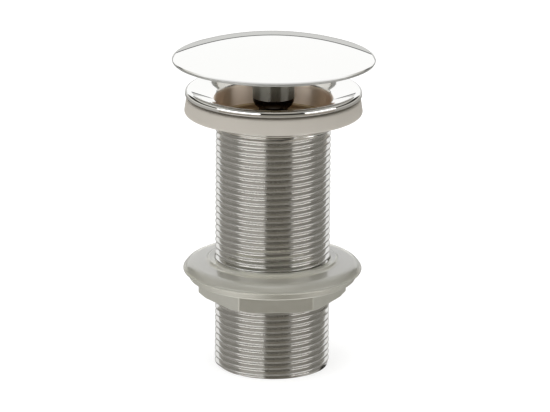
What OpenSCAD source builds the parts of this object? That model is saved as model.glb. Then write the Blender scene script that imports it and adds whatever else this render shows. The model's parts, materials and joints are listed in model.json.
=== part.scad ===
// Free-flow basin waste, 1 1/4 inch, unslotted, with a domed cap on a pillar.
// Millimetres. Z points up the axis, and z = 0 is the lower end of the tail.

/* [Tail] */
// Thread diameter over the crests, G 1 1/4
thread_d = 41.91; // [39:0.01:44]
// Length of the tail below the basin seat
tail_len = 95.1; // [70:0.1:120]
// Diameter of the turned waterway in the tail
bore_d = 36; // [33:0.1:37]
// Chamfer on the thread's lower end
thread_chamfer = 0.75; // [0.3:0.05:1.2]
// Chamfer inside the lower end of the waterway
bore_chamfer = 0.4; // [0.2:0.05:1]

/* [Bowl] */
// Inner diameter of the bowl
bowl_d = 42.6; // [41:0.1:44]
// Wall of the bowl
bowl_wall = 1.5; // [1.2:0.1:2]
// Depth of the bowl's floor below the top of the rim
bowl_depth = 11.9; // [10:0.1:15]
// Wall between the corner of the bowl's floor and the cone outside it
floor_wall = 1.1; // [0.9:0.05:2]
// Fillet between the bowl's wall and floor
floor_fillet = 1; // [0.4:0.1:1.5]
// Radius of the lip where the dish turns down into the bowl
lip_r = 1.4; // [0.8:0.1:2]

/* [Flange] */
// Diameter of the flange over its rim
flange_d = 64.2; // [61:0.1:70]
// Height of the rim's outer side with its rounded top
rim_h = 2.3; // [2:0.1:3]
// Radius of the rim's rounded top
rim_round = 1.4; // [1:0.1:1.6]
// Rounding at the foot of the rim
rim_foot = 0.3; // [0.1:0.05:0.4]
// Slope of the dished face, in degrees
dish_angle = 20; // [18:0.5:22]
// Metal thickness of the dish
dish_t = 1.6; // [1.3:0.05:1.8]

/* [Bridge] */
// Diameter of the tapped hub
hub_d = 13; // [11:0.5:15]
// Height of the hub
hub_h = 6; // [5:0.5:8]
// Number of arms that carry the hub
arm_count = 3; // [2:1:4]
// Width of an arm
arm_w = 3.4; // [2.6:0.1:4.5]
// Height of an arm
arm_h = 4.5; // [3:0.1:5]
// Step of the arms below the top of the hub
arm_drop = 0.8; // [0.3:0.1:1]
// Diameter of the cast waterway at the bridge
throat_d = 34.8; // [32:0.1:35.4]
// Length of the cast throat below the hub
throat_drop = 4.3; // [3.5:0.1:8]

/* [Cap] */
// Diameter of the dome
cap_d = 73.8; // [68:0.1:80]
// Metal thickness of the dome
cap_t = 0.9; // [0.7:0.05:1.5]
// Radius of the dome's face
dome_r = 102; // [92:1:130]
// Radius at which the face turns down near its edge
ease_r = 2.2; // [2:0.1:6]
// Lean of the turned-down metal where the rolled edge begins, in degrees
ease_lean = 40; // [30:1:55]
// Swell of the rolled edge past half the metal's thickness
edge_swell = 0.05; // [0.05:0.05:0.4]
// Open height between the rim of the flange and the edge of the dome
cap_gap = 10.35; // [8:0.05:14]
// Diameter of the boss under the dome
boss_d = 16; // [14:0.5:20]
// Height of the boss at its middle
boss_h = 5; // [4:0.1:6]
// Solder gap between the boss and the dome
braze_gap = 0.05; // [0.02:0.01:0.1]

/* [Pillar] */
// Diameter of the pillar
pillar_d = 15.2; // [14:0.1:16]
// Diameter of the pillar's neck
neck_d = 10.5; // [9:0.1:12]
// Length of the neck between the hub and the rounded shoulder
neck_len = 4.9; // [3:0.1:7]
// Radius of the rounded shoulder
shoulder_r = 4.2; // [3:0.1:6]

/* [Stud] */
// Diameter of the stud, M6
stud_d = 6; // [5:0.5:7]
// Length of the stud below the hub
stud_out = 2; // [1:0.1:3]
// Length of the stud that screws into the boss
stud_grip = 4.2; // [3:0.1:4.4]
// Chamfer on the stud's ends
stud_chamfer = 0.7; // [0.3:0.1:1]
// Radial clearance of the stud in the hub, in place of its thread
hub_clear = 0.15; // [0.1:0.01:0.25]
// Radial clearance of the stud through the pillar
pillar_clear = 0.3; // [0.2:0.05:0.5]
// Radial clearance of the stud in the boss, in place of its thread
boss_clear = 0.05; // [0.03:0.01:0.1]

/* [Gasket] */
// Thickness of the gasket under the rim
gasket_h = 6.8; // [5:0.1:9]
// Diameter of the gasket at its foot
gasket_d = 64.7; // [62:0.1:68]
// Taper of the gasket's side, foot to top, on the radius
gasket_taper = 0.75; // [0:0.05:1]
// Rounding of the gasket's edges
gasket_round = 1; // [0.5:0.1:1.5]
// Gap between the gasket and the casting inside it
gasket_gap = 0.3; // [0.2:0.05:0.5]

/* [Back nut] */
// Height of the nut's lower face above the end of the tail, as fitted
nut_z = 26.1; // [12:0.1:45]
// Height of the nut with its flange
nut_h = 9.5; // [8:0.1:14]
// Width across the flats
nut_af = 47; // [46:0.1:52]
// Turn of the hexagon from square to the front, in degrees
nut_turn = 3.2; // [0:0.1:30]
// Rounding off of the hexagon's corners, on the radius
corner_off = 0.35; // [0:0.05:0.6]
// Chamfer at the foot of the corners, on the radius
corner_chamfer = 2.4; // [1.5:0.1:3]
// Slope of that chamfer, in degrees
corner_slope = 27; // [20:1:40]
// Diameter of the nut's flange
nut_flange_d = 61; // [58:0.1:64]
// Thickness of the nut's flange
nut_flange_t = 2.6; // [2:0.1:4]
// Rounding of the flange's edge
nut_flange_round = 0.6; // [0.2:0.1:0.9]
// Radial clearance of the nut over the crests, in place of its thread
nut_clear = 0.58; // [0.55:0.01:0.7]
// Chamfer at both ends of the nut's hole
nut_chamfer = 0.6; // [0.3:0.1:1]

/* [Tapered washer] */
// Diameter of the washer
washer_d = 65.2; // [62:0.1:68]
// Height of the washer's outer edge
washer_edge_h = 3.7; // [3:0.1:5]
// Height of the washer's centring ring
washer_h = 5.1; // [4.8:0.1:7]
// Lean of the washer's side from upright, in degrees
washer_lean = 35; // [20:1:45]
// Wall of the centring ring
ring_wall = 1.7; // [1.2:0.1:2.5]
// Radial clearance of the washer over the crests
washer_clear = 0.58; // [0.55:0.01:0.8]
// Rounding of the washer's lower edge
washer_round = 0.9; // [0.6:0.1:1.2]
// Rounding of the washer's upper edge
washer_top_round = 0.5; // [0.3:0.1:0.6]

/* [Hidden] */
$fn = 96;

// Points on one rounded edge
ARC_STEPS = 8;
// Points from the middle of the dome to its edge
DOME_STEPS = 24;
// How far a cut runs past the face that it opens
CUT = 1;
// How far an arm runs into the wall that carries it
ROOT = 0.5;
// Width of the slope up to the washer's centring ring, and the gentle rise before it
RING_RAMP = 1.1;
TOP_RISE = 0.45;

thread_r = thread_d / 2;
bore_r = bore_d / 2;
tail_wall = thread_r - bore_r;
foot_chamfer = min(thread_chamfer, tail_wall / 2);
mouth_chamfer = min(bore_chamfer, tail_wall / 4);
bowl_r = bowl_d / 2;
bowl_out_r = bowl_r + bowl_wall;
crest_x = flange_d / 2 - rim_round;

seat_z = tail_len;
rim_low_z = seat_z + gasket_h;
rim_top_z = rim_low_z + rim_h;
crest_z = rim_top_z - rim_round;
floor_z = rim_top_z - bowl_depth;
shoulder_z = floor_z + bowl_wall + 2 * floor_fillet - sqrt(2) * (floor_fillet + floor_wall);
thread_top_z = shoulder_z - (bowl_out_r - thread_r);
hub_low_z = floor_z - hub_h;
throat_low_z = hub_low_z - throat_drop;

// Height of the dish's upper face, and of its underside, at a radius
function dish_z(r) = crest_z + rim_round / cos(dish_angle) - (crest_x - r) * tan(dish_angle);
function under_z(r) = dish_z(r) - dish_t / cos(dish_angle);
// Radius at which the underside meets the flat under the rim
under_r = crest_x - (under_z(crest_x) - rim_low_z) / tan(dish_angle);
lip_x = bowl_r + lip_r;
lip_top_r = lip_x - lip_r * sin(dish_angle);
lip_z = dish_z(lip_top_r) - lip_r * cos(dish_angle);

// Rolled edge, turned-down part and face of the dome: three arcs, each tangent to the next
edge_r = cap_t / 2 + edge_swell;
edge_x = cap_d / 2 - edge_r;
edge_z = rim_top_z + cap_gap + edge_r;
ease_x = edge_x - (ease_r - edge_r) * sin(ease_lean);
ease_z = edge_z - (ease_r - edge_r) * cos(ease_lean);
face_lean = asin(ease_x / (dome_r - ease_r));
dome_z = ease_z - (dome_r - ease_r) * cos(face_lean);
inner_r = dome_r - cap_t;
boss_low_z = dome_z + inner_r - boss_h;

stud_r = stud_d / 2;
stud_low_z = hub_low_z - stud_out;
stud_top_z = boss_low_z + stud_grip;
pillar_low_z = floor_z;

nut_bore_r = thread_r + nut_clear;
washer_z = nut_z + nut_h;
washer_bore_r = thread_r + washer_clear;
ring_r = washer_bore_r + ring_wall;

// Points of an arc about x, z, from one angle to another
function arc(x, z, r, from, to, steps = ARC_STEPS) =
    [for (i = [0:steps]) let (a = from + (to - from) * i / steps) [x + r * cos(a), z + r * sin(a)]];

module turned(points) {
    rotate_extrude() polygon(points);
}

module dome_cap() {
    // Where the inside of the turned-down part runs into the rolled edge, seen from either centre
    reach = ease_r - edge_r;
    inside = ease_r - cap_t;
    swing = acos((inside * inside + reach * reach - edge_r * edge_r) / (2 * inside * reach));
    turn = acos((inside * inside - reach * reach - edge_r * edge_r) / (2 * reach * edge_r));
    face_a = 90 - face_lean;
    ease_a = 90 - ease_lean;
    color("gainsboro")
    turned(concat(
        arc(0, dome_z, dome_r, 90, face_a, DOME_STEPS),
        arc(ease_x, ease_z, ease_r, face_a, ease_a),
        arc(edge_x, edge_z, edge_r, ease_a, ease_a - 360 + turn, 2 * ARC_STEPS),
        arc(ease_x, ease_z, inside, ease_a + swing, face_a),
        arc(0, dome_z, inner_r, face_a, 90, DOME_STEPS)
    ));
}

module cap_boss() {
    color("darkkhaki")
    difference() {
        intersection() {
            translate([0, 0, boss_low_z]) cylinder(h = boss_h, d = boss_d);
            translate([0, 0, dome_z]) sphere(r = inner_r - braze_gap);
        }
        translate([0, 0, boss_low_z - CUT]) cylinder(h = boss_h + 2 * CUT, r = stud_r + boss_clear);
    }
}

module cap_pillar() {
    neck_r = neck_d / 2;
    pillar_r = pillar_d / 2;
    shoulder_x = pillar_r - shoulder_r;
    // Angle at which the shoulder's arc meets the neck
    meet = acos((neck_r - shoulder_x) / shoulder_r);
    arc_z = pillar_low_z + neck_len + shoulder_r * sin(meet);
    hole_r = stud_r + pillar_clear;
    color("silver")
    turned(concat(
        [[hole_r, pillar_low_z], [neck_r, pillar_low_z]],
        arc(shoulder_x, arc_z, shoulder_r, -meet, 0),
        [[pillar_r, boss_low_z], [hole_r, boss_low_z]]
    ));
}

module cap_stud() {
    tip_r = stud_r - stud_chamfer;
    color("lightsteelblue")
    turned([
        [0, stud_low_z], [tip_r, stud_low_z], [stud_r, stud_low_z + stud_chamfer],
        [stud_r, stud_top_z - stud_chamfer], [tip_r, stud_top_z], [0, stud_top_z]
    ]);
}

module bridge_arm() {
    translate([0, -arm_w / 2, floor_z - arm_drop - arm_h]) cube([throat_d / 2 + ROOT, arm_w, arm_h]);
}

module waste_body() {
    throat_r = throat_d / 2;
    color("silver")
    difference() {
        union() {
            turned(concat(
                // Tail and shoulder, from the inside of the lower end upwards
                [
                    [bore_r + mouth_chamfer, 0], [thread_r - foot_chamfer, 0],
                    [thread_r, foot_chamfer], [thread_r, thread_top_z],
                    [bowl_out_r, shoulder_z], [bowl_out_r, under_z(bowl_out_r)],
                    [under_r, rim_low_z]
                ],
                // Side and rounded top of the rim, then the lip where the dish turns into the bowl
                arc(flange_d / 2 - rim_foot, rim_low_z + rim_foot, rim_foot, -90, 0),
                arc(crest_x, crest_z, rim_round, 0, 90 + dish_angle),
                arc(lip_x, lip_z, lip_r, 90 + dish_angle, 180),
                // Bowl, throat and waterway, downwards
                arc(bowl_r - floor_fillet, floor_z + floor_fillet, floor_fillet, 0, -90),
                [
                    [throat_r, floor_z], [throat_r, throat_low_z], [bore_r, throat_low_z],
                    [bore_r, mouth_chamfer]
                ]
            ));
            translate([0, 0, hub_low_z]) cylinder(h = hub_h, d = hub_d);
            for (i = [0:arm_count - 1]) rotate([0, 0, 90 + i * 360 / arm_count]) bridge_arm();
        }
        translate([0, 0, hub_low_z - CUT]) cylinder(h = hub_h + 2 * CUT, r = stud_r + hub_clear);
    }
}

module flange_gasket() {
    low_x = gasket_d / 2 - gasket_round;
    low_z = seat_z + gasket_round;
    top_x = low_x - gasket_taper;
    top_z = rim_low_z - gasket_round;
    lean = atan(gasket_taper / (top_z - low_z));
    hole_r = bowl_out_r + gasket_gap;
    color("tan")
    turned(concat(
        [[hole_r, seat_z]],
        arc(low_x, low_z, gasket_round, -90, lean),
        arc(top_x, top_z, gasket_round, lean, 90),
        [[under_r, rim_low_z], [under_r, rim_low_z - gasket_gap],
         [hole_r, under_z(hole_r) - gasket_gap]]
    ));
}

module tapered_washer() {
    low_x = washer_d / 2 - washer_round;
    low_z = washer_z + washer_round;
    // The upper edge's centre, at which the straight side is tangent to both roundings
    top_z = washer_z + washer_edge_h - washer_top_round;
    fall = (top_z - low_z) * sin(washer_lean) + washer_top_round - washer_round;
    top_x = low_x - fall / cos(washer_lean);
    color("beige")
    turned(concat(
        [[washer_bore_r, washer_z]],
        arc(low_x, low_z, washer_round, -90, washer_lean),
        arc(top_x, top_z, washer_top_round, washer_lean, 90),
        [[ring_r + RING_RAMP, washer_z + washer_edge_h + TOP_RISE],
         [ring_r, washer_z + washer_h], [washer_bore_r, washer_z + washer_h]]
    ));
}

module back_nut() {
    corner_r = nut_af / sqrt(3);
    foot_r = corner_r - corner_chamfer;
    hex_h = nut_h - nut_flange_t;
    flange_z = nut_z + hex_h;
    flange_r = nut_flange_d / 2;
    color("darkgray")
    difference() {
        union() {
            intersection() {
                translate([0, 0, nut_z]) rotate([0, 0, nut_turn])
                    cylinder(h = hex_h, r = corner_r, $fn = 6);
                translate([0, 0, nut_z]) cylinder(h = hex_h, r = corner_r - corner_off);
                translate([0, 0, nut_z])
                    cylinder(h = hex_h, r1 = foot_r, r2 = foot_r + hex_h / tan(corner_slope));
            }
            turned(concat(
                [[0, flange_z]],
                arc(flange_r - nut_flange_round, flange_z + nut_flange_round, nut_flange_round, -90, 0),
                arc(flange_r - nut_flange_round, washer_z - nut_flange_round, nut_flange_round, 0, 90),
                [[0, washer_z]]
            ));
        }
        translate([0, 0, nut_z - CUT]) cylinder(h = nut_h + 2 * CUT, r = nut_bore_r);
        translate([0, 0, nut_z]) nut_mouth();
        translate([0, 0, washer_z]) mirror([0, 0, 1]) nut_mouth();
    }
}

// The chamfer at one end of the nut's hole
module nut_mouth() {
    translate([0, 0, -CUT])
        cylinder(h = nut_chamfer + CUT, r1 = nut_bore_r + nut_chamfer + CUT, r2 = nut_bore_r);
}

dome_cap();
cap_boss();
cap_pillar();
cap_stud();
waste_body();
flange_gasket();
tapered_washer();
back_nut();
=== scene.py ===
# %% [markdown]
# # A free-flow basin waste
# This fitting sits in the hole at the bottom of a washbasin. A chromed brass casting with a dished
# flange hangs a threaded tail through the basin. A soft gasket seals it from above, and a plastic
# washer and a flanged nut pull it tight from below. A domed cap on a pillar hides the open bowl.
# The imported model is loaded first. It fixes every size and every moving body, and each surface
# below is worked out from it, in millimetres, and turned to metres only when a mesh is made.

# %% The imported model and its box
import json
import math

import bmesh
import bpy
import numpy as np
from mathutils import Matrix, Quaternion, Vector


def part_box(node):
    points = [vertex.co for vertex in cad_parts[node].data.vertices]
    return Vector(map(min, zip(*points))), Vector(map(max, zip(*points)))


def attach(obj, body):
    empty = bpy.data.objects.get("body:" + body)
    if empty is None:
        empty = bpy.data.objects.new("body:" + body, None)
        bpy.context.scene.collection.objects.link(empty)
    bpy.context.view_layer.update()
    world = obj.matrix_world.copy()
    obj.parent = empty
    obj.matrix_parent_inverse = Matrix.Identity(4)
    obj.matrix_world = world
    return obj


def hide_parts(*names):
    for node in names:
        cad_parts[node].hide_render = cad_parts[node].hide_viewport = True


MM = 0.001
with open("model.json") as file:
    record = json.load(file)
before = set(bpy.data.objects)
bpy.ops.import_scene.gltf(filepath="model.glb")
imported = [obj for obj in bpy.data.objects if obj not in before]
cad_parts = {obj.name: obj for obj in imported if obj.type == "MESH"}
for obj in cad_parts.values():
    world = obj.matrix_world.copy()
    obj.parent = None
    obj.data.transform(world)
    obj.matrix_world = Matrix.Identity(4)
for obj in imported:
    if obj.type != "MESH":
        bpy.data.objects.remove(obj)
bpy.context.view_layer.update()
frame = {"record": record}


def node_size(node):
    """Outer radius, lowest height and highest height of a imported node, in millimetres."""
    low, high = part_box(node)
    return high.x / MM, low.z / MM, high.z / MM


dims = {mount["name"]: mount["dims"] for mount in frame["record"]["mounts"]}
crest_r = dims["tail_thread"]["r_mm"]
bore_r = dims["outlet"]["r_mm"]
cap_r, cap_low, cap_top = node_size("dome_cap")
flange_r, _, rim_top = node_size("waste_body")
gasket_r, seat_z, gasket_top = node_size("flange_gasket")
washer_r, washer_z, washer_top = node_size("tapered_washer")
nut_r, nut_z, nut_top = node_size("back_nut")
pillar_r, floor_z, boss_low = node_size("cap_pillar")
boss_r, _, boss_top = node_size("cap_boss")
stud_r, stud_low, stud_top = node_size("cap_stud")
print(f"thread {2 * crest_r:.2f} mm over its crests, "
      f"rim at {rim_top:.1f} mm, cap {2 * cap_r:.1f} mm across")

# %% [markdown]
# ## Profiles with rounded corners
# Every edge of a turned or moulded part is a little round, and that small arc is what catches the
# light. A bevel could round a finished mesh, but here each profile already carries a radius for
# each corner, so the arc touches both sides and its size is a real one. A corner may also
# change on its way round, as it does on a hexagon, so a profile is kept as one row of points for
# each of its corners, with one point for each angle round the axis.

# %% Rounding a profile
ARC_STEPS = 8
SUPPORT = 0.12  # from the end of a straight side to the extra row that holds its normal
SUPPORT_SHARE = 1 / 3  # the same on a short side, as a share of it
TINY = 1e-12  # keeps a length of nothing from being divided by


def unit(vectors):
    """The same vectors at length 1."""
    return vectors / np.linalg.norm(vectors, axis=-1, keepdims=True)


def corner_arc(before, corner, after, radius):
    """Points of the arc that rounds one corner.

    Its ends lie radius / tan(half the corner's angle) along both sides, and its centre lies
    radius / sin(half the angle) along the line that halves the corner.
    """
    back, ahead = unit(before - corner), unit(after - corner)
    half = np.arccos(np.clip((back * ahead).sum(-1, keepdims=True), -1, 1)) / 2
    centre = corner + unit(back + ahead) * radius / np.sin(half)
    start = corner + back * radius / np.tan(half) - centre
    end = corner + ahead * radius / np.tan(half) - centre
    cross = start[:, :1] * end[:, 1:] - start[:, 1:] * end[:, :1]
    swing = np.arctan2(cross, (start * end).sum(-1, keepdims=True))
    turn = swing * np.linspace(0, 1, ARC_STEPS + 1)[:, None, None]
    sideways = np.stack([-start[:, 1], start[:, 0]], -1)
    return centre + start * np.cos(turn) + sideways * np.sin(turn)


def rounded(corners, angles=1, closed=True):
    """Rows of points along a profile of (r, z, radius) corners, with its corners rounded.

    A row close to each end of a straight side keeps the side's own normal up to the arc.
    """
    points = [np.stack(np.broadcast_arrays(r, z, np.zeros(angles))[:2], -1) for r, z, _ in corners]
    rows = []
    for i, (_, _, radius) in enumerate(corners):
        before, after = points[i - 1], points[(i + 1) % len(points)]
        end = not closed and i in (0, len(points) - 1)
        rows.append(points[i][None] if end or not radius
                    else corner_arc(before, points[i], after, radius))
    filled = []
    for i, arc in enumerate(rows):
        filled.append(arc)
        if closed or i < len(rows) - 1:
            start, end = arc[-1], rows[(i + 1) % len(rows)][0]
            run = np.linalg.norm(end - start, axis=-1, keepdims=True)
            step = (end - start) * np.minimum(SUPPORT / np.maximum(run, TINY), SUPPORT_SHARE)
            filled.append(np.stack([start + step, end - step]))
    return np.concatenate(filled)


print(f"each corner is an arc of {ARC_STEPS} steps")

# %% [markdown]
# ## From rows to a surface
# A turned part is its profile carried once round the axis: a point at radius r, height z and angle
# a goes to (r cos a, r sin a, z). A thread is the same, but each row climbs by one pitch in a turn,
# so the last column of faces joins the first a few rows up. A Screw modifier could make both, but
# it can't cut a thread off level, so points and faces are worked out here, as whole arrays.

# %% Surfaces of rows and columns
def round_angles(count):
    """Evenly spaced angles round the axis."""
    return np.arange(count) * math.tau / count


def swept(r, z, angles):
    """Points (r cos a, r sin a, z), with one column for each angle a."""
    return np.stack([r * np.cos(angles), r * np.sin(angles), z], -1)


def turned(rows, angles):
    """Points of profile rows carried round the axis, from one (r, z) for all angles or for each."""
    r, z = (np.broadcast_to(rows[..., k], (len(rows), len(angles))) for k in (0, 1))
    return swept(r, z, angles)


def grid_faces(rows, columns, closed_rows, climb=0):
    """Four-sided faces between neighbouring rows and columns.

    The point in row r and column c has the number r columns + c. The last column is joined to the
    first one, climb rows further up.
    """
    row, column = np.meshgrid(np.arange(rows if closed_rows else rows - 1), np.arange(columns),
                              indexing="ij")

    def number(r, c):
        r = r + climb * (c == columns)
        r = r % rows if closed_rows else np.minimum(r, rows - 1)
        return r * columns + c % columns

    corners = [number(row, column), number(row, column + 1),
               number(row + 1, column + 1), number(row + 1, column)]
    return np.stack(corners, -1).reshape(-1, 4)


def by_finish(points, faces, row_finish):
    """One patch for each finish of a surface, from one material number for each row of faces."""
    finish = np.repeat(row_finish, len(faces) // len(row_finish))
    return [(points, faces[finish == k], k) for k in np.unique(finish)]


# %% [markdown]
# ## From surfaces to a piece
# A piece can be more than one surface, such as a threaded tube and the turned profile that closes
# it. Points that fall together, such as those on the axis or at the cut end of a thread, are
# welded, which leaves one closed skin. The normals are weighted by area, so a wide flat face stays
# flat right up to its rounded edge, as polished metal needs. Auto smooth by angle would do for a
# plain box, but it breaks the long, soft highlights of a chromed edge.

# %% Welding, normals and the body that a piece rides on
WELD = 0.002


def area_normals(mesh):
    """One normal for each point: the sum of its faces' normals, each as long as its face's area."""
    count = len(mesh.polygons)
    normal, area, total = np.zeros(count * 3), np.zeros(count), np.zeros(count, int)
    mesh.polygons.foreach_get("normal", normal)
    mesh.polygons.foreach_get("area", area)
    mesh.polygons.foreach_get("loop_total", total)
    corner = np.zeros(len(mesh.loops), int)
    mesh.loops.foreach_get("vertex_index", corner)
    weighted = np.repeat(normal.reshape(-1, 3) * area[:, None], total, axis=0)
    summed = np.zeros((len(mesh.vertices), 3))
    np.add.at(summed, corner, weighted)
    return summed / np.maximum(np.linalg.norm(summed, axis=1, keepdims=True), TINY)


def make_piece(name, patches, materials, body, slot, *nodes):
    """Weld patches of (points in mm, faces, material number) into a mesh that rides on a body."""
    points, faces, kinds, count = [], [], [], 0
    for patch, corners, kind in patches:
        points.append(patch.reshape(-1, 3))
        faces.append(corners + count)
        kinds.append(np.full(len(corners), kind))
        count += len(points[-1])
    mesh = bpy.data.meshes.new(name)
    mesh.from_pydata((np.concatenate(points) * MM).tolist(), [], np.concatenate(faces).tolist())
    mesh.polygons.foreach_set("material_index", np.concatenate(kinds).astype(np.int32))
    edit = bmesh.new()
    edit.from_mesh(mesh)
    bmesh.ops.remove_doubles(edit, verts=edit.verts, dist=WELD * MM)
    bmesh.ops.dissolve_degenerate(edit, edges=edit.edges, dist=WELD * MM / 2)
    open_edges = sum(not e.is_manifold for e in edit.edges)
    volume = edit.calc_volume(signed=True) / MM ** 3
    edit.to_mesh(mesh)
    edit.free()
    for material in materials:
        mesh.materials.append(material)
    mesh.shade_smooth()
    mesh.normals_split_custom_set_from_vertices(area_normals(mesh))
    piece = bpy.data.objects.new(name, mesh)
    bpy.context.scene.collection.objects.link(piece)
    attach(piece, body)
    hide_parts(*nodes)
    triangles = sum(len(p.vertices) - 2 for p in mesh.polygons)
    print(f"{name}: {triangles} triangles, {open_edges} open edges, {volume:.0f} mm3")


# %% [markdown]
# ## Materials
# A shader is a small tree of nodes. One function adds a node, sets it and links it, and the colours
# are written as the sRGB values that a paint chart would give.

# %% Nodes and colours
def linear(hex_colour):
    """An sRGB hex colour as linear red, green, blue and 1.

    A value up to 0.04045 is divided by 12.92. Above that it becomes
    ((value + 0.055) / 1.055) ^ 2.4.
    """
    value = np.array([int(hex_colour[i:i + 2], 16) / 255 for i in (1, 3, 5)])
    return (*np.where(value <= 0.04045, value / 12.92, ((value + 0.055) / 1.055) ** 2.4), 1.0)


def add(tree, kind, inputs=None, **settings):
    """Add a node with its settings. Each input takes a value or another node's socket."""
    made = tree.nodes.new("ShaderNode" + kind)
    for name, value in settings.items():
        setattr(made, name, value)
    for socket, value in (inputs or {}).items():
        if isinstance(value, bpy.types.NodeSocket):
            tree.links.new(value, made.inputs[socket])
        else:
            made.inputs[socket].default_value = value
    return made


def new_material(name, **sockets):
    """A material with one Principled shader, whose own sockets hold what is even all over."""
    material = bpy.data.materials.new(name)
    material.use_nodes = True
    tree = material.node_tree
    shader = tree.nodes["Principled BSDF"]
    for socket, value in sockets.items():
        shader.inputs[socket.replace("_", " ")].default_value = value
    return material, tree, shader


# %% [markdown]
# ## Finishes that drift
# A finish could be one colour and one roughness all over, but buffing, plating and moulding leave
# a surface that drifts a little from place to place. Noise on the Object coordinates is counted in
# real millimetres, so the lumps of each finish get a real size and stay put on a moving piece.

# %% Patterns with a size in millimetres
NOISE_LOW, NOISE_HIGH = 0.3, 0.7  # nearly all of the noise lies between these


def grain(tree, lumps, detail=2.0):
    """Noise whose lumps are about so many millimetres across: its scale is 1 / lumps."""
    place = add(tree, "TexCoord").outputs["Object"]
    in_mm = add(tree, "Mapping", {"Vector": place, "Scale": (1 / MM, 1 / MM, 1 / MM)}).outputs[0]
    noise = add(tree, "TexNoise", {"Vector": in_mm, "Scale": 1 / lumps, "Detail": detail})
    return noise.outputs["Fac"]


def drifting_roughness(tree, shader, lumps, low, high):
    """Roughness that drifts with the noise from low to high."""
    drift = add(tree, "MapRange", {"Value": grain(tree, lumps), "From Min": NOISE_LOW,
                                   "From Max": NOISE_HIGH, "To Min": low, "To Max": high})
    tree.links.new(drift.outputs[0], shader.inputs["Roughness"])


def drifting_colour(tree, shader, lumps, first, second, detail=2.0):
    """Base colour that the noise mixes from two hex colours."""
    tone = add(tree, "Mix", {"Factor": grain(tree, lumps, detail), "A": linear(first),
                             "B": linear(second)}, data_type="RGBA")
    tree.links.new(tone.outputs["Result"], shader.inputs["Base Color"])


def fine_relief(tree, shader, lumps, depth, strength):
    """A bump that follows the noise, depth millimetres deep at strength 1."""
    bump = add(tree, "Bump", {"Height": grain(tree, lumps), "Strength": strength,
                              "Distance": depth * MM})
    tree.links.new(bump.outputs["Normal"], shader.inputs["Normal"])


# %% [markdown]
# ## Chromium plate
# Nearly all that shows is chromium plate on brass, and all of it could share one material. But a
# plate copies what was done to the brass under it. The face is buffed to a mirror, the bowl and
# the pillar keep the marks of the lathe, the thread isn't buffed, and little plate gets inside.
# So each of these has its own tint and roughness, and the dome's rolled edge and the pillar are
# darkened further as painted shade. The lathe's marks run round the axis and draw each reflection
# out along it, which is what the Anisotropic value is for.

# %% Plate on buffed and pressed brass
def mirror_chrome():
    """Chromium plate on buffed brass: an almost white mirror, with the buff's faintest haze."""
    material, tree, shader = new_material(
        "mirror_chrome", Base_Color=linear("#FCFCFA"), Metallic=1.0)
    drifting_roughness(tree, shader, lumps=9, low=0.02, high=0.04)
    return material


def dark_painted_edge():
    """Plate on the dome's rolled edge: softer, and greyed as painted shade for the dark edge line.
    """
    material, tree, shader = new_material(
        "dark_painted_edge", Base_Color=linear("#B6B6B3"), Metallic=0.65)
    drifting_roughness(tree, shader, lumps=4, low=0.3, high=0.38)
    return material


def flash_plate():
    """Thin plate on the unbuffed underside of the dome: bright, but blurred by the pressing."""
    material, tree, shader = new_material(
        "flash_plate", Base_Color=linear("#F2F0EC"), Metallic=1.0)
    drifting_roughness(tree, shader, lumps=6, low=0.25, high=0.3)
    return material


# %% Plate on turned and cut brass
def thread_chrome():
    """Thin plate on a cut thread, which isn't buffed: greyer and softer than the flange."""
    material, tree, shader = new_material(
        "thread_chrome", Base_Color=linear("#DCDBD8"), Metallic=1.0)
    drifting_roughness(tree, shader, lumps=3, low=0.12, high=0.2)
    return material


def turned_plate():
    """Plate on the bowl's turned wall: warm from the brass, its reflections drawn out upwards."""
    material, tree, shader = new_material(
        "turned_plate", Base_Color=linear("#FFF0E0"), Metallic=1.0,
        Anisotropic=0.95, Anisotropic_Rotation=0.25)
    drifting_roughness(tree, shader, lumps=2, low=0.42, high=0.48)
    return material


def pillar_painted_dark():
    """Plate on the turned pillar: harder, darkened as painted shade, with the same upward streaks.
    """
    material, tree, shader = new_material(
        "pillar_painted_dark", Base_Color=linear("#9A9890"), Metallic=1.0,
        Anisotropic=0.95, Anisotropic_Rotation=0.25)
    drifting_roughness(tree, shader, lumps=2, low=0.27, high=0.31)
    return material


def neck_plate():
    """Plate on the pillar's neck and shoulder: smooth and almost black."""
    material, tree, shader = new_material(
        "neck_plate", Base_Color=linear("#3A3632"), Metallic=1.0)
    drifting_roughness(tree, shader, lumps=2, low=0.2, high=0.26)
    return material


def waterway_plate():
    """Plate in the mouth of the cast waterway: dull, and a little yellow from the brass."""
    material, tree, shader = new_material("waterway_plate", Metallic=1.0)
    drifting_colour(tree, shader, lumps=5, first="#B49C7C", second="#C4B090")
    drifting_roughness(tree, shader, lumps=1.5, low=0.3, high=0.42)
    return material


# %% [markdown]
# ## The other finishes
# The boss and the stud are bare metal. The nut is plated with nickel in a barrel, which dulls it
# evenly and rounds its corners. Rubber scatters light at its skin. Polythene lets light in and
# scatters it inside. A volume would be the truest way to show that, but it is slow and
# noisy, and on a ring this thin a milky, rough glass under a clear coat looks much the same.

# %% Bare brass, steel and barrelled nickel
def turned_brass():
    """Bare turned brass of the brazed boss: yellow, and hazed by the tool."""
    material, tree, shader = new_material(
        "turned_brass", Base_Color=linear("#C9A45A"), Metallic=1.0)
    drifting_roughness(tree, shader, lumps=2, low=0.22, high=0.34)
    return material


def rolled_steel():
    """Stainless steel of the rolled stud: clean, cool grey and slightly satin."""
    material, tree, shader = new_material(
        "rolled_steel", Base_Color=linear("#C2C2C0"), Metallic=1.0)
    drifting_roughness(tree, shader, lumps=1, low=0.16, high=0.28)
    return material


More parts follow.
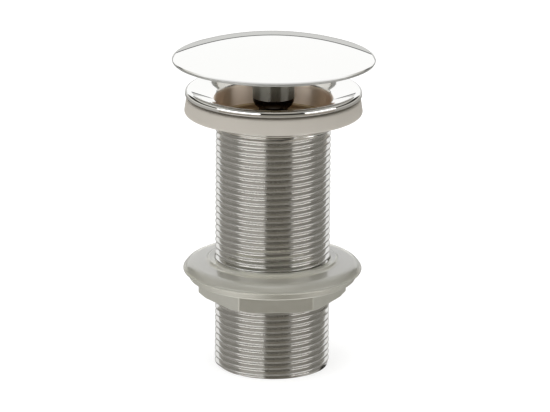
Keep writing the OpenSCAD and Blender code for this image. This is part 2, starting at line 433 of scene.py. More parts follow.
def satin_nickel():
    """Barrelled nickel plate on a pressed brass nut: an even grey satin with soft corners."""
    material, tree, shader = new_material("satin_nickel", Metallic=1.0)
    drifting_colour(tree, shader, lumps=6, first="#F0F0E8", second="#FAFAF4")
    drifting_roughness(tree, shader, lumps=2, low=0.42, high=0.5)
    fine_relief(tree, shader, lumps=0.8, depth=0.05, strength=0.15)
    return material


# %% Rubber and polythene
def gasket_rubber():
    """Moulded foam rubber: matte, warm grey, with a fine skin and slightly uneven filler."""
    material, tree, shader = new_material("gasket_rubber", Roughness=0.75)
    drifting_colour(tree, shader, lumps=14, first="#B6B1A8", second="#C2BCB3")
    fine_relief(tree, shader, lumps=0.6, depth=0.05, strength=0.25)
    return material


def milky_polythene():
    """Natural polythene: milky and slightly green where it is thick, with a glossy skin."""
    material, tree, shader = new_material(
        "milky_polythene", Roughness=0.28, IOR=1.51, Transmission_Weight=0.65,
        Coat_Weight=1.0, Coat_Roughness=0.12)
    drifting_colour(tree, shader, lumps=11, first="#F0EEDE", second="#FAF8EC", detail=3)
    return material


# %% One of each
MIRROR = mirror_chrome()
THREAD = thread_chrome()
WATERWAY = waterway_plate()
TURNED = turned_plate()
PAINTED_EDGE = dark_painted_edge()
UNDERSIDE = flash_plate()
PILLAR = pillar_painted_dark()
NECK = neck_plate()
BRASS = turned_brass()
STEEL = rolled_steel()
RUBBER = gasket_rubber()
POLYTHENE = milky_polythene()
NICKEL = satin_nickel()
print(f"{len(bpy.data.materials)} materials, with those of the packed model")

# %% [markdown]
# ## The thread
# The tail carries the standard pipe thread of this size, 11 threads to the inch with sides that
# lean 27.5 degrees, and arcs at its crests and roots. It is right-handed, so it climbs
# to the right. The form below gives one pitch of it. The tube samples that form at the same
# points in every turn, so no crest is ever cut off between two rows.

# %% Thread form and thread tube
PIPE_PITCH = 25.4 / 11
PIPE_FLANK = math.radians(27.5)
PIPE_ROUND = 0.1373 * PIPE_PITCH  # the standard's radius at crests and roots
STUD_PITCH = 1.0
STUD_FLANK = math.radians(30)
STUD_ROUND = 0.12
FORM_STEPS = 5
SPARE_TURNS = 2  # turns past each end, so that the ends are full all the way round


def thread_form(pitch, flank, rounding):
    """Places along the axis, and depths below the crest, over one pitch that starts at a crest.

    The sharp V is pitch / (2 tan flank) deep. An arc at a corner takes rounding (1 / sin flank - 1)
    off it, once at the crest and once at the root.
    """
    lean = math.pi / 2 - flank
    swing = np.linspace(-lean, lean, FORM_STEPS)
    depth = pitch / (2 * math.tan(flank)) - 2 * rounding * (1 / math.sin(flank) - 1)
    along = np.concatenate([rounding * np.sin(swing), pitch / 2 + rounding * np.sin(swing)])
    arc = rounding * (1 - np.cos(swing))
    return along, np.concatenate([arc, depth - arc])


def depth_at(form, pitch, z, angles):
    """Depth below the crest at height z and angle a: the form at z - pitch a / 2 pi."""
    along, below = form
    return np.interp((z - pitch * angles / math.tau) % pitch, along, below, period=pitch)


def thread_tube(form, pitch, low, high, angles, shape):
    """Points and faces of a threaded tube from height low to high.

    A row of the form at place p in turn k lies at height p + k pitch + pitch a / 2 pi at angle a,
    and stops at the tube's ends. shape(z, depth) gives its radius.
    """
    along, _ = form
    turns = np.arange(math.floor(low / pitch) - SPARE_TURNS, math.ceil(high / pitch) + SPARE_TURNS)
    rows = (turns[:, None] * pitch + along).ravel()
    z = np.clip(rows[:, None] + pitch * angles / math.tau, low, high)
    r = shape(z, depth_at(form, pitch, z, angles))
    return swept(r, z, angles), grid_faces(len(rows), len(angles), False, climb=len(along))


PIPE_FORM = thread_form(PIPE_PITCH, PIPE_FLANK, PIPE_ROUND)
STUD_FORM = thread_form(STUD_PITCH, STUD_FLANK, STUD_ROUND)
print(f"pipe thread {PIPE_PITCH:.3f} mm pitch, {PIPE_FORM[1].max():.3f} mm deep")

# %% [markdown]
# ## The casting
# The body is one brass casting, turned where it shows: a rim with a half-round bead, a dished face,
# a lip that turns down into the bowl, a floor with three arms to a tapped hub, and the waterway
# below. It could be turned, bored and threaded with booleans, but they leave ragged edges in a
# mirror. Here one profile runs up the outside from the top of the thread, over the rim and down
# the inside to the end of the tail. The threaded tube closes the loop.

# %% Sizes of the casting
BODY_ANGLES = round_angles(144)
TAIL_CHAMFER = 0.75
RUN_OUT = 0.9  # height over which the thread fades out under the shoulder
BOWL_R = 21.3
BOWL_OUT_R = 22.8
BOWL_OUT_ROUND = 0.4
THROAT_R = 17.4
THROAT_DROP = 4.3  # from the foot of the hub down to the wider bore
THROAT_ROUND = 0.5
STEP_ROUND = 0.3
HUB_H = 6.0
FLOOR_ROUND = 1.0
RIM_ROUND = 1.4
RIM_FOOT = 0.3
DISH_LEAN = math.radians(20)
DISH_T = 1.6
DISH_FOOT = 0.4
DISH_ROOT = 0.5
LIP_ROUND = 1.4
LIP_TURNED = 0.45  # the lathe-turned wall's finish reaches this far out over the lip
MOUTH_CONE = 0.4
MOUTH_ROUND = 0.15
END_ROUND = 0.1
FACE, CUT, CAST, WALL = range(4)  # material numbers of the casting's finishes

crest_x, crest_z = flange_r - RIM_ROUND, rim_top - RIM_ROUND
under = DISH_T / math.cos(DISH_LEAN)
thread_top = TAIL_CHAMFER + dims["tail_thread"]["length_mm"]
shoulder_z = thread_top + BOWL_OUT_R - crest_r
throat_low = floor_z - HUB_H - THROAT_DROP


def dish_z(r):
    """Height of the dished face at a radius: a cone that touches the rim's rounded top."""
    return crest_z + RIM_ROUND / math.cos(DISH_LEAN) - (crest_x - r) * math.tan(DISH_LEAN)


turned_r = BOWL_R + LIP_TURNED
under_r = crest_x - (dish_z(crest_x) - under - gasket_top) / math.tan(DISH_LEAN)
print(f"the dish falls from {dish_z(crest_x):.1f} mm to {dish_z(BOWL_R):.1f} mm at the bowl")


# %% Profile of the casting
def tail_shape(z, depth):
    """Radius of the tail: the thread, cut by the cone at its end and running out at its top."""
    fade = np.clip((thread_top - z) / RUN_OUT, 0, 1)
    return np.minimum(crest_r - depth * fade, crest_r - TAIL_CHAMFER + z)


def casting():
    """The outer thread and the lathe-turned remainder, as patches that share their end rings.

    The end ring at z = 0 has the thread's own radius at each angle, so it isn't quite a circle.
    """
    thread, thread_faces = thread_tube(PIPE_FORM, PIPE_PITCH, 0, thread_top, BODY_ANGLES,
                                       tail_shape)
    end_r = tail_shape(0, depth_at(PIPE_FORM, PIPE_PITCH, 0, BODY_ANGLES))
    rows = rounded([
        (crest_r, thread_top, 0),
        (BOWL_OUT_R, shoulder_z, BOWL_OUT_ROUND),
        (BOWL_OUT_R, dish_z(BOWL_OUT_R) - under, DISH_ROOT),
        (under_r, gasket_top, DISH_FOOT),
        (flange_r, gasket_top, RIM_FOOT),
        (flange_r, dish_z(flange_r), RIM_ROUND),
        (BOWL_R, dish_z(BOWL_R), LIP_ROUND),
        (BOWL_R, floor_z, FLOOR_ROUND),
        (THROAT_R, floor_z, THROAT_ROUND),
        (THROAT_R, throat_low, STEP_ROUND),
        (bore_r, throat_low, STEP_ROUND),
        (bore_r, MOUTH_CONE, MOUTH_ROUND),
        (bore_r + MOUTH_CONE, 0, END_ROUND),
        (end_r, 0, 0),
    ], len(BODY_ANGLES), closed=False)
    r, z = ((rows[:-1] + rows[1:]).mean(1) / 2).T
    inside = (r < turned_r) & (z < dish_z(turned_r))
    finish = np.where(inside, np.where(z > floor_z + FLOOR_ROUND, WALL, CAST), FACE)
    faces = grid_faces(len(rows), len(BODY_ANGLES), False)
    return [(thread, thread_faces, CUT)] + by_finish(turned(rows, BODY_ANGLES), faces, finish)


# %% [markdown]
# ## The bridge in the bowl
# Three arms carry a hub that is tapped for the stud. Cast arms swell where they meet the hub and
# the wall, so each is a rounded bar whose width and height grow towards both ends. Its ends run
# into the hub and the wall, which is simpler than joining them and looks the same.

# %% Arms and hub
HUB_R = 6.5
HUB_FOOT = 0.6
HUB_EDGE = 0.4
HUB_SIDES = 72
TAP_CLEAR = 0.05
TAP_ROUND = 0.2
TAP_R = stud_r + TAP_CLEAR
ARM_COUNT = 3
ARM_W = 3.4
ARM_H = 4.5
ARM_DROP = 0.8  # top of an arm below the bowl's floor
ARM_START = HUB_R - 1.5
ARM_END = THROAT_R + 0.6
ARM_FLARE = 1.3
FLARE_FADE = 12  # the flare falls by e this many times over an arm's length
FLARE_UP = 0.4  # flare in height, as a share of that in width
ARM_SIDES = 24
ARM_ROWS = 25


def arm(angle):
    """A bar along the radius at an angle, with a rounded-square section that flares at its ends.

    The section is |x|^4 + |y|^4 = 1, so its point at angle t lies (cos^4 t + sin^4 t)^(-1/4) from
    its middle. At share s of the length, the flare is e^(-12 s) + e^(-12 (1 - s)) of its size.
    """
    along = np.linspace(0, 1, ARM_ROWS)[:, None]
    flare = ARM_FLARE * (np.exp(-along * FLARE_FADE) + np.exp(-(1 - along) * FLARE_FADE))
    turn = round_angles(ARM_SIDES)
    c, s = np.cos(turn), np.sin(turn)
    size = (c ** 4 + s ** 4) ** -0.25
    across = (ARM_W / 2 + flare) * size * c
    up = floor_z - ARM_DROP - ARM_H / 2 + (ARM_H / 2 + flare * FLARE_UP) * size * s
    out = np.broadcast_to(ARM_START + (ARM_END - ARM_START) * along, across.shape)
    tube = np.stack([out, across, up], -1)
    ends = [np.broadcast_to(tube[k].mean(0), tube[k].shape) for k in (0, -1)]
    x, y, z = np.moveaxis(np.concatenate([ends[0][None], tube, ends[1][None]]), -1, 0)
    a, b = math.cos(angle), math.sin(angle)
    spun = np.stack([x * a - y * b, x * b + y * a, z], -1)
    return spun, grid_faces(len(spun), ARM_SIDES, False)[:, ::-1], CAST


def hub():
    """The turned hub with its tapped hole."""
    rows = rounded([
        (TAP_R, floor_z - HUB_H, TAP_ROUND), (HUB_R, floor_z - HUB_H, HUB_FOOT),
        (HUB_R, floor_z, HUB_EDGE), (TAP_R, floor_z, TAP_ROUND),
    ])
    angles = round_angles(HUB_SIDES)
    return turned(rows, angles), grid_faces(len(rows), len(angles), True), CAST


arms = [arm(math.radians(90 + 360 * i / ARM_COUNT)) for i in range(ARM_COUNT)]
make_piece("waste_casting", casting() + [hub()] + arms, [MIRROR, THREAD, WATERWAY, TURNED],
           "waste", "body_chrome", "waste_body")

# %% [markdown]
# ## The dome
# The dome is pressed from brass sheet and chromed all over. Its face is part of a large sphere and
# its edge is turned over to a small radius. A squashed sphere would be quicker, but the mirror
# shows each change of curve, so the profile is made of true arcs. The sphere touches both the apex
# at height h over the centre of the turned-down arc and that arc itself, of radius e at x from the
# axis, so its radius is (h^2 + x^2 - e^2) / (2 (h - e)).

# %% Sizes of the dome
CAP_T = 0.9
EASE_R = 3.2  # turned-down part between the face and the edge
EASE_LEAN = math.radians(40)
EDGE_R = 0.5
DOME_STEPS = 40
CAP_ANGLES = round_angles(192)
OUTSIDE, ROLL, INSIDE = range(3)  # material numbers of the dome's finishes

edge_x, edge_z = cap_r - EDGE_R, cap_low + EDGE_R
edge_reach, inner_ease = EASE_R - EDGE_R, EASE_R - CAP_T
ease_x = edge_x - edge_reach * math.sin(EASE_LEAN)
ease_z = edge_z - edge_reach * math.cos(EASE_LEAN)
ease_drop = cap_top - ease_z
DOME_R = (ease_drop ** 2 + ease_x ** 2 - EASE_R ** 2) / (2 * (ease_drop - EASE_R))
face_a = math.acos(ease_x / (DOME_R - EASE_R))
dome_z = cap_top - DOME_R
print(f"the face of the dome has a radius of {DOME_R:.1f} mm")


# %% Dome
def arc_rows(x, z, r, start, end, steps):
    """Rows of a profile along an arc about x, z, between two angles: (x + r cos a, z + r sin a)."""
    swing = np.linspace(start, end, steps + 1)
    return np.stack([x + r * np.cos(swing), z + r * np.sin(swing)], -1)[:, None]


def dome():
    """The dome's shell: a face, a turned-down part and a rolled edge, arcs that touch each other.

    Inside, the turned-down part meets the rolled edge where the two circles cross. The cosine rule
    gives that place as an angle about either centre.
    """
    ease_a = math.pi / 2 - EASE_LEAN
    swing = math.acos((inner_ease ** 2 + edge_reach ** 2 - EDGE_R ** 2)
                      / (2 * inner_ease * edge_reach))
    turn = math.acos((inner_ease ** 2 - edge_reach ** 2 - EDGE_R ** 2) / (2 * edge_reach * EDGE_R))
    rows = np.concatenate([
        arc_rows(0, dome_z, DOME_R - CAP_T, math.pi / 2, face_a, DOME_STEPS),
        arc_rows(ease_x, ease_z, inner_ease, face_a, ease_a + swing, ARC_STEPS)[1:],
        arc_rows(edge_x, edge_z, EDGE_R, ease_a - math.tau + turn, ease_a, 2 * ARC_STEPS)[1:],
        arc_rows(ease_x, ease_z, EASE_R, ease_a, face_a, ARC_STEPS)[1:],
        arc_rows(0, dome_z, DOME_R, face_a, math.pi / 2, DOME_STEPS)[1:],
    ])
    # The roll takes the edge plate, greyed as painted shade for the dark line along the edge.
    finish = np.repeat([INSIDE, ROLL, OUTSIDE],
                       [DOME_STEPS + ARC_STEPS, 2 * ARC_STEPS, ARC_STEPS + DOME_STEPS])
    return by_finish(turned(rows, CAP_ANGLES), grid_faces(len(rows), len(CAP_ANGLES), False),
                     finish)


make_piece("polished_dome", dome(), [MIRROR, PAINTED_EDGE, UNDERSIDE],
           "cap", "dome_chrome", "dome_cap")

# %% [markdown]
# ## Boss and stud
# A sheet this thin can't be tapped, so a small turned boss is brazed under the dome and a rolled
# steel stud screws into it. They could be plain cylinders, as neither shows at rest, but the boss
# shows from below and the stud is a part that someone may take out, so both are whole.

# %% Boss
BOSS_ROUND = 0.3
BOSS_SIDES = 96
BRAZE_GAP = 0.05
CROWN_ROWS = 9


def boss():
    """The boss: a short turned plug whose top follows the underside of the dome.

    At radius r the top lies sqrt(R^2 - r^2) above the dome's centre, with R just inside the sheet.
    """
    inner = DOME_R - CAP_T - BRAZE_GAP
    top = np.linspace(boss_r, TAP_R, CROWN_ROWS)
    crown = np.stack([top, dome_z + np.sqrt(inner ** 2 - top ** 2)], -1)[:, None]
    low = rounded([(TAP_R, boss_top, 0), (TAP_R, boss_low, BOSS_ROUND),
                   (boss_r, boss_low, BOSS_ROUND), (boss_r, crown[0, 0, 1], 0)], closed=False)
    rows = np.concatenate([low[:-1], crown])[:-1]
    angles = round_angles(BOSS_SIDES)
    return turned(rows, angles), grid_faces(len(rows), len(angles), True), 0


make_piece("brazed_boss", [boss()], [BRASS], "cap", "plain_brass", "cap_boss")

# %% Stud
STUD_ANGLES = round_angles(48)
STUD_CHAMFER = 0.7


def stud_shape(z, depth):
    """Radius of the stud: its thread, cut by a cone of 45 degrees at each end."""
    end = stud_r - STUD_CHAMFER + np.minimum(z - stud_low, stud_top - z)
    return np.minimum(stud_r - depth, end)


def stud():
    """The stud: a rolled thread with a cone at each end, closed by flat ends."""
    tube, faces = thread_tube(STUD_FORM, STUD_PITCH, stud_low, stud_top, STUD_ANGLES, stud_shape)
    patches = [(tube, faces, 0)]
    for z, order in ((stud_low, slice(None)), (stud_top, slice(None, None, -1))):
        rows = np.array([[0, z], [stud_r - STUD_CHAMFER, z]])[order, None]
        patches.append((turned(rows, STUD_ANGLES), grid_faces(2, len(STUD_ANGLES), False), 0))
    return patches


make_piece("threaded_stud", stud(), [STEEL], "cap", "stainless", "cap_stud")

# %% [markdown]
# ## The pillar
# A waisted pillar on the stud sets the height of the dome above the flange. It is turned from bar,
# with a thin neck and a large rounded shoulder under its plain upper part. In the photograph the
# neck and the shoulder are nearly black. Plain chrome comes out lighter than that here, so they get
# a dark plate of their own, which ends just above the shoulder.

# %% Pillar
NECK_R = 5.25
NECK_LEN = 4.9
SHOULDER_R = 4.2
SHOULDER_STEPS = 14
PILLAR_HOLE = stud_r + 0.3
PILLAR_ROUND = 0.3
PILLAR_EDGE = 0.35
PILLAR_SIDES = 128
SEAM_RISE = 1.0  # height in the hole where the profile starts and ends
DARK_RISE = 0.4  # how far the dark plate reaches above the shoulder


def pillar():
    """The pillar: a straight neck, a large rounded shoulder and a plain upper part.

    The shoulder's arc ends upright at the pillar's side. It meets the neck at the angle whose
    cosine is (neck radius - radius of the arc's centre) / shoulder radius.
    """
    shoulder_x = pillar_r - SHOULDER_R
    meet = math.acos((NECK_R - shoulder_x) / SHOULDER_R)
    arc_z = floor_z + NECK_LEN + SHOULDER_R * math.sin(meet)
    seam = (PILLAR_HOLE, floor_z + SEAM_RISE, 0)
    low = rounded([seam, (PILLAR_HOLE, floor_z, PILLAR_ROUND), (NECK_R, floor_z, PILLAR_ROUND),
                   (NECK_R, floor_z + NECK_LEN, 0)], closed=False)
    shoulder = arc_rows(shoulder_x, arc_z, SHOULDER_R, -meet, 0, SHOULDER_STEPS)
    high = rounded([(pillar_r, arc_z, 0), (pillar_r, boss_low, PILLAR_EDGE),
                    (PILLAR_HOLE, boss_low, PILLAR_ROUND), seam], closed=False)
    rows = np.concatenate([low[:-1], shoulder[:-1], high[:-1]])
    height = (rows[:, 0, 1] + np.roll(rows[:, 0, 1], -1)) / 2
    dark = (height < arc_z + DARK_RISE).astype(int)
    angles = round_angles(PILLAR_SIDES)
    return by_finish(turned(rows, angles), grid_faces(len(rows), len(angles), True), dark)


# The pillar's plate is darkened as painted shade of the bowl it stands in.
make_piece("waisted_pillar", pillar(), [PILLAR, NECK], "pillar", "pillar_chrome", "cap_pillar")

# %% [markdown]
# ## The gasket
# The gasket is a soft moulded ring that fills the space under the dished flange. It could be a
# plain ring, but its foot is rounded, its side leans in and its inner part follows the dish. Its
# top stands a little clear of the rim, which leaves the narrow dark groove that sets it off.

# %% Gasket
GASKET_TAPER = 0.75  # how much the side leans in between its rounded corners
GASKET_ROUND = 1.0
GASKET_HOLE_ROUND = 0.4
GASKET_GAP = 0.3
GROOVE_H = 1.0
GROOVE_ROUND = 0.2
GROOVE_TOP_ROUND = 0.1
RING_ANGLES = round_angles(180)


def foot_corner(outer, radius, lean):
    """Radius of the sharp corner under a side that leans in, once its arc reaches out to outer.

    The arc's centre is at outer - radius, and the corner is radius (1 + sin lean) / cos lean
    beyond it.
    """
    return outer - radius + radius * (1 + math.sin(lean)) / math.cos(lean)


def gasket():
    """The gasket: a side that leans in, a groove under the rim and a top that follows the dish."""
    hole = BOWL_OUT_R + GASKET_GAP
    height = gasket_top - seat_z
    groove_z = gasket_top - GROOVE_H
    lean = math.atan(GASKET_TAPER / (height - 2 * GASKET_ROUND))
    foot = foot_corner(gasket_r, GASKET_ROUND, lean)
    rows = rounded([
        (hole, seat_z, GASKET_HOLE_ROUND),
        (foot, seat_z, GASKET_ROUND),
        (foot - (height - GROOVE_H) * math.tan(lean), groove_z, GASKET_ROUND),
        (under_r + GASKET_GAP, groove_z, GROOVE_ROUND),
        (under_r, gasket_top, GROOVE_TOP_ROUND),
        (under_r - GASKET_GAP, gasket_top - GASKET_GAP, 0),
        (hole, dish_z(hole) - under - GASKET_GAP, GASKET_HOLE_ROUND),
    ])
    return turned(rows, RING_ANGLES), grid_faces(len(rows), len(RING_ANGLES), True), 0


make_piece("soft_gasket", [gasket()], [RUBBER], "waste", "grey_rubber", "flange_gasket")

# %% [markdown]
# ## The washer
# The washer is a tapered polythene ring with a collar round the thread. A bevel would round all of
# its edges alike, but a moulded ring is round where the tool was and soft at the top. So each
# corner of the profile has an arc of its own. The hole hugs the crests of the thread.

# %% Washer
PLAY = 0.08  # between the crests and what slides or turns on them
COLLAR_R = crest_r + 2.28
COLLAR_ROUND = 1.0
WASHER_EDGE_H = 3.7
WASHER_LEAN = math.radians(35)
WASHER_ROUND = 0.9
WASHER_HOLE_ROUND = 0.3
WASHER_TOP_ROUND = 3.4
HOLLOW_OUT, HOLLOW_UP = 1.1, 0.45  # foot of the collar, outwards from it and up from the rim
HOLLOW_ROUND = 2.4


def washer():
    """The washer: a collar round the crests, a gentle fall to the rim and a side that leans in."""
    bore, rim_z = crest_r + PLAY, washer_z + WASHER_EDGE_H
    foot = foot_corner(washer_r, WASHER_ROUND, WASHER_LEAN)
    rows = rounded([
        (bore, washer_z, WASHER_HOLE_ROUND),
        (foot, washer_z, WASHER_ROUND),
        (foot - WASHER_EDGE_H * math.tan(WASHER_LEAN), rim_z, WASHER_TOP_ROUND),
        (COLLAR_R + HOLLOW_OUT, rim_z + HOLLOW_UP, HOLLOW_ROUND),
        (COLLAR_R, washer_top, COLLAR_ROUND),
        (bore, washer_top, WASHER_HOLE_ROUND),
    ])
    return turned(rows, RING_ANGLES), grid_faces(len(rows), len(RING_ANGLES), True), 0


make_piece("polythene_washer", [washer()], [POLYTHENE],
           "washer", "clear_polythene", "tapered_washer")

# %% [markdown]
# ## The nut
# The nut is a hexagon with a round flange, pressed and then threaded to match the tail, turn for
# turn. A six-sided cylinder with a bevel would show the same outline, but a real nut's corners are
# rounded along their edges and cut by a cone at the end. So its profile is a turned one
# whose radius changes with the angle, and its columns lie closer together at the corners.

# %% Sizes of the nut
NUT_AF = 47.0  # across flats
NUT_TURN = math.radians(3.2)
NUT_CORNER_R = 0.8
NUT_FLANGE_T = 2.6
NUT_MOUTH = 0.6
NUT_CLEAR = 0.58
CORNER_CHAMFER = 2.4
CORNER_SLOPE = math.tan(math.radians(27))
FOOT_INSET = 0.3
FOOT_ROUND, CHAMFER_ROUND, ROOT_ROUND = 0.2, 0.25, 0.5
FLANGE_LOW_ROUND, FLANGE_TOP_ROUND = 0.7, 0.6
HALF_SIDE = math.radians(30)  # half of the angle that one side of a hexagon takes up
SIDE_DEGREES = np.array([-30, -29.3, -28.6, -27.9, -27.2, -26.5, -25, -22.5, -19, -15, -11, -7, -3,
                         1, 5, 9, 13, 17, 20.5, 23.5, 25.8, 26.8, 27.5, 28.2, 28.9, 29.5])
NUT_ANGLES = (np.radians(np.arange(6)[:, None] * 60 + SIDE_DEGREES) + NUT_TURN + HALF_SIDE).ravel()


# %% Nut
def hexagon_r(angles):
    """Distance from the axis to a hexagon with rounded corners.

    It is apothem / cos d, where d is the angle from the middle of a side. Past the point where the
    corner's arc begins, it is the far crossing of the ray with that arc's circle.
    """
    d = np.abs((angles - NUT_TURN) % (2 * HALF_SIDE) - HALF_SIDE)
    apothem = NUT_AF / 2
    centre = (apothem - NUT_CORNER_R) / math.cos(HALF_SIDE)
    begin = math.atan(centre * math.sin(HALF_SIDE) / apothem)
    off = HALF_SIDE - d
    beyond = np.sqrt(np.maximum(NUT_CORNER_R ** 2 - (centre * np.sin(off)) ** 2, 0))
    return np.where(d < begin, apothem / np.cos(d), centre * np.cos(off) + beyond)


def nut():
    """The nut: a chamfered hexagon, a flange and a threaded hole with a cone at each mouth."""
    hexagon = hexagon_r(NUT_ANGLES)
    foot = np.minimum(NUT_AF / math.sqrt(3) - CORNER_CHAMFER, hexagon - FOOT_INSET)
    flange_z = nut_top - NUT_FLANGE_T
    mouth = crest_r + NUT_CLEAR + NUT_MOUTH
    rows = rounded([
        (mouth, nut_z, 0),
        (foot, nut_z, FOOT_ROUND),
        (hexagon, nut_z + (hexagon - foot) * CORNER_SLOPE, CHAMFER_ROUND),
        (hexagon, flange_z, ROOT_ROUND),
        (nut_r, flange_z, FLANGE_LOW_ROUND),
        (nut_r, nut_top, FLANGE_TOP_ROUND),
        (mouth, nut_top, 0),
    ], len(NUT_ANGLES), closed=False)

    def shape(z, depth):
        mouth_cone = mouth - np.minimum(z - nut_z, nut_top - z)
        return np.maximum(crest_r - depth + PLAY, mouth_cone)

    hole, hole_faces = thread_tube(PIPE_FORM, PIPE_PITCH, nut_z, nut_top, NUT_ANGLES, shape)
    return [(turned(rows, NUT_ANGLES), grid_faces(len(rows), len(NUT_ANGLES), False), 0),
            (hole, hole_faces[:, ::-1], 0)]


make_piece("flanged_nut", nut(), [NICKEL], "nut", "satin_nickel", "back_nut")

# %% [markdown]
# ## The studio
# Polished metal shows what stands round it more than its own colour. Real panels and card could
# stand round the part, but they would show in other views, so the world itself is a light tent.
# It is white overhead, with a wall at each side and a darker room behind the camera, where the
# opening that it looks through is nearly black. A dark band lies along both side walls, as a
# photographer hangs black card to draw the edges of chrome. The lower half stands for the floor.
# Azimuth 0 is towards the camera, and it grows to the right.

# %% Panels of the tent
TENT_WHITE = "#FFFFFF"
ROOM_SHADE = "#868684"
ROOM_STARTS, ROOM_FULL = 0.55, -0.3  # the y of a direction, where the room's shade sets in
FLOOR_GREY = "#8C8A86"
BLACK_CARD = "#2A2824"
FAR_LINE = "#383838"

# Shade; azimuth from, to and softness; elevation from, to and softness of its foot and of its top
PANELS = [
    ("#D0D0CE", -200, 200, 1, -100, 5, 1, 1),  # the floor all round
    (FLOOR_GREY, 150, 210, 4, -49, -10, 3, 6),  # the floor behind the part, in two halves
    (FLOOR_GREY, -210, -150, 4, -49, -10, 3, 6),
    ("#F2F2F0", -200, 200, 1, -200, -53, 1, 4),  # the floor close by
    ("#D6D4CF", -77, -17, 2, -100, -8, 2, 3),  # left of the camera: floor, then wall
    ("#FCFCFA", -77, -17, 2, -8, 30, 3, 8),
    ("#AEABA6", 41, 88, 2, -60, -8, 12, 3),  # right of the camera: floor, then wall
    ("#F0EEEA", 41, 88, 2, -8, 30, 3, 8),
    ("#8A8278", -77, 88, 2, -26, -9, 3, 2),  # where the floor in front meets the walls
    ("#605E5A", -86, 86, 2, 0, 6, 1, 1),
    ("#A6A4A0", -150, -77, 2, -50, -5, 3, 4),  # far left: floor, wall and black card
    ("#D0CEC8", -150, -77, 2, -5, 42, 2, 8),
    (BLACK_CARD, -150, -77, 2, 8, 28, 2, 4),
    ("#8C887F", -17, 41, 1.5, -66, -6, 10, 2),  # the opening: floor, darkness and what is above
    ("#2C2A26", -17, 41, 1.5, -6, 32, 2, 6),
    ("#B0ACA4", -17, 41, 1.5, 32, 66, 3, 6),
    ("#96948F", 88, 150, 2, -50, -5, 3, 4),  # far right: floor, wall and black card
    ("#B8B6B0", 88, 150, 2, -5, 42, 2, 8),
    (BLACK_CARD, 88, 150, 2, 8, 28, 2, 4),
    (FAR_LINE, -240, -150, 4, 4.8, 6.4, 0.5, 0.5),  # the far edge of the floor, in two halves
    (FAR_LINE, 150, 240, 4, 4.8, 6.4, 0.5, 0.5),
]
print(f"{len(PANELS)} panels in the tent")

# %% World
DEG = 180 / math.pi


def tent():
    """The world: panels laid over each other by azimuth and elevation, and white to the camera.

    A direction (x, y, z) has the azimuth arctan2(x, -y) and the elevation arcsin z. A panel covers
    what lies between its limits in both.
    """
    world = bpy.data.worlds.new("light_tent")
    world.use_nodes = True
    bpy.context.scene.world = world
    tree = world.node_tree
    tree.nodes.clear()
    way = add(tree, "SeparateXYZ", {0: add(tree, "TexCoord").outputs["Generated"]})
    ahead = add(tree, "Math", {0: way.outputs["Y"], 1: -1.0}, operation="MULTIPLY").outputs[0]
    turn = add(tree, "Math", {0: way.outputs["X"], 1: ahead}, operation="ARCTAN2").outputs[0]
    azimuth = add(tree, "Math", {0: turn, 1: DEG}, operation="MULTIPLY").outputs[0]
    rise = add(tree, "Math", {0: way.outputs["Z"]}, operation="ARCSINE").outputs[0]
    elevation = add(tree, "Math", {0: rise, 1: DEG}, operation="MULTIPLY").outputs[0]

    def band(value, low, high, low_soft, high_soft):
        """1 between two limits and 0 outside, with a smooth step of twice the softness at each."""
        steps = [add(tree, "MapRange", {"Value": value, "From Min": limit - soft,
                                        "From Max": limit + soft, "To Min": before,
                                        "To Max": 1 - before}, interpolation_type="SMOOTHSTEP")
                 for limit, soft, before in ((low, low_soft, 0.0), (high, high_soft, 1.0))]
        return add(tree, "Math", {k: step.outputs[0] for k, step in enumerate(steps)},
                   operation="MULTIPLY").outputs[0]

    room = add(tree, "MapRange", {"Value": way.outputs["Y"], "From Min": ROOM_STARTS,
                                  "From Max": ROOM_FULL}).outputs[0]
    colour = add(tree, "Mix", {"Factor": room, "A": linear(TENT_WHITE), "B": linear(ROOM_SHADE)},
                 data_type="RGBA").outputs["Result"]
    for shade, left, right, side_soft, low, high, foot_soft, top_soft in PANELS:
        mask = add(tree, "Math", {0: band(azimuth, left, right, side_soft, side_soft),
                                  1: band(elevation, low, high, foot_soft, top_soft)},
                   operation="MULTIPLY").outputs[0]
        colour = add(tree, "Mix", {"Factor": mask, "A": colour, "B": linear(shade)},
                     data_type="RGBA").outputs["Result"]
    seen = add(tree, "LightPath").outputs["Is Camera Ray"]
    shown = add(tree, "Mix", {"Factor": seen, "A": colour, "B": linear(TENT_WHITE)},
                data_type="RGBA")
    ground = add(tree, "Background", {"Color": shown.outputs["Result"], "Strength": 1.0})
    out = add(tree, "OutputWorld")
    tree.links.new(ground.outputs[0], out.inputs["Surface"])


tent()

# %% [markdown]
# ## Floor, lamps and camera
# The floor is white to the camera. Three quarters of that white glows evenly and the rest is lit,
# so the part keeps a soft shadow. It isn't shown in the metal, where the tent's lower half stands
# for it. A lamp overhead shapes the rubber, the washer and the shadow, but stays out of the metal,
# and two long strips, one at each side of the camera, draw the highlights in the chrome. The camera
# looks down at 16 degrees through a long lens, two metres away.

# %% Floor
FLOOR_SIZE = 6.0
FLOOR_SHADE = "#A8A8A8"
FLOOR_GLOW = 0.75


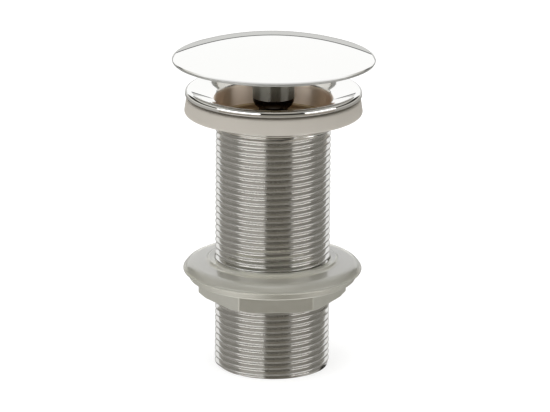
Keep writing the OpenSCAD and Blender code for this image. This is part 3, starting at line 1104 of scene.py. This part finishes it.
def studio_floor():
    """A wide white floor, partly lit and partly glowing, and clear from below."""
    mesh = bpy.data.meshes.new("studio_floor")
    corners = np.array([[-1, -1, 0], [1, -1, 0], [1, 1, 0], [-1, 1, 0]]) * FLOOR_SIZE / 2
    mesh.from_pydata(corners.tolist(), [], [(0, 1, 2, 3)])
    floor = bpy.data.objects.new("studio_floor", mesh)
    bpy.context.scene.collection.objects.link(floor)
    material = bpy.data.materials.new("white_sweep")
    material.use_nodes = True
    tree = material.node_tree
    tree.nodes.clear()
    lit = add(tree, "BsdfDiffuse", {"Color": linear(FLOOR_SHADE)})
    glow = add(tree, "Emission", {"Color": linear(TENT_WHITE), "Strength": FLOOR_GLOW})
    both = add(tree, "AddShader", {0: lit.outputs[0], 1: glow.outputs[0]})
    clear = add(tree, "BsdfTransparent")
    below = add(tree, "NewGeometry").outputs["Backfacing"]
    mix = add(tree, "MixShader", {0: below, 1: both.outputs[0], 2: clear.outputs[0]})
    out = add(tree, "OutputMaterial")
    tree.links.new(mix.outputs[0], out.inputs["Surface"])
    mesh.materials.append(material)
    floor.visible_glossy = False


studio_floor()

# %% Lamps
LAMP_AIM = Vector((0, 0, 0.06))


def softbox(name, azimuth, rise, distance, width, height, power, in_metal):
    """A rectangular lamp that faces the middle of the part, and may be left out of the metal.

    It stands along (sin a cos e, -cos a cos e, sin e), for the azimuth a and the rise e.
    """
    across, up = math.radians(azimuth), math.radians(rise)
    way = Vector((math.sin(across) * math.cos(up), -math.cos(across) * math.cos(up), math.sin(up)))
    data = bpy.data.lights.new(name, "AREA")
    data.shape = "RECTANGLE"
    data.size, data.size_y = width, height
    data.energy = power
    lamp = bpy.data.objects.new(name, data)
    lamp.location = LAMP_AIM + way * distance
    lamp.rotation_mode = "QUATERNION"
    lamp.rotation_quaternion = way.to_track_quat("Z", "Y")
    lamp.visible_camera = False
    lamp.visible_glossy = in_metal
    bpy.context.scene.collection.objects.link(lamp)
    print(f"{name}: {width} x {height} m at {distance} m, {power} W")


softbox("overhead", azimuth=-22, rise=78, distance=1.37, width=1.0, height=1.0, power=14,
        in_metal=False)
softbox("left_strip", azimuth=-47, rise=13, distance=1.2, width=1.38, height=0.2, power=2.2,
        in_metal=True)
softbox("right_strip", azimuth=64, rise=13, distance=1.2, width=1.0, height=0.2, power=1.4,
        in_metal=True)

# %% Camera
CAMERA_AT = (0.0, -1.92205, 0.6211)
CAMERA_TARGET = (0.0008, 0.0, 0.0598)
CAMERA_ROLL = math.radians(0.404)
LENS = 359.5
SENSOR = 36
CLIP_END = 20


def camera():
    """A long lens at the photograph's angle, rolled by the little that it was held off level."""
    data = bpy.data.cameras.new("camera")
    data.lens = LENS
    data.sensor_width = SENSOR
    data.clip_end = CLIP_END
    made = bpy.data.objects.new("camera", data)
    made.location = CAMERA_AT
    aim = (Vector(CAMERA_TARGET) - Vector(CAMERA_AT)).to_track_quat("-Z", "Y")
    made.rotation_mode = "QUATERNION"
    made.rotation_quaternion = aim @ Quaternion((0, 0, 1), CAMERA_ROLL)
    bpy.context.scene.collection.objects.link(made)
    bpy.context.scene.camera = made


camera()
bpy.context.scene.view_settings.view_transform = "Standard"
